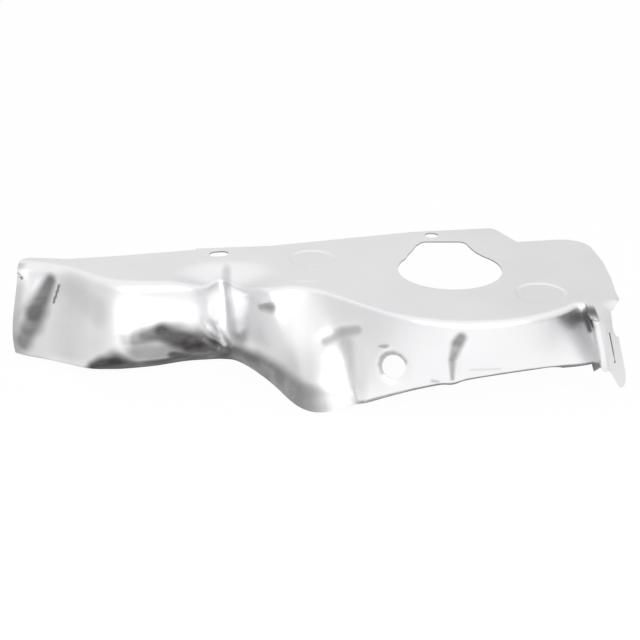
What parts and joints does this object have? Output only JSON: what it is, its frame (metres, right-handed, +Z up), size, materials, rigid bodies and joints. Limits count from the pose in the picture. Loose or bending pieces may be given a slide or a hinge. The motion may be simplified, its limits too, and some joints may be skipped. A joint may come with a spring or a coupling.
{
  "type": "exhaust heat shield",
  "caption": "Pressed aluminium heat shield: flat panel with a lobed sensor opening, deep wrinkled front skirt and a slotted side tab.",
  "frame": {"origin": "centre of the rear bolt hole, on the panel's upper face", "axes": "+X along the shield towards the tab, +Y towards the back edge, +Z up out of the panel"},
  "size_m": [0.4201, 0.1803, 0.0654],
  "materials": {
    "aluminium_sheet": "satin mill finish with scuffs and press marks"
  },
  "bodies": {
    "root": {"heat_shield": "aluminium_sheet"}
  },
  "joints": []
}
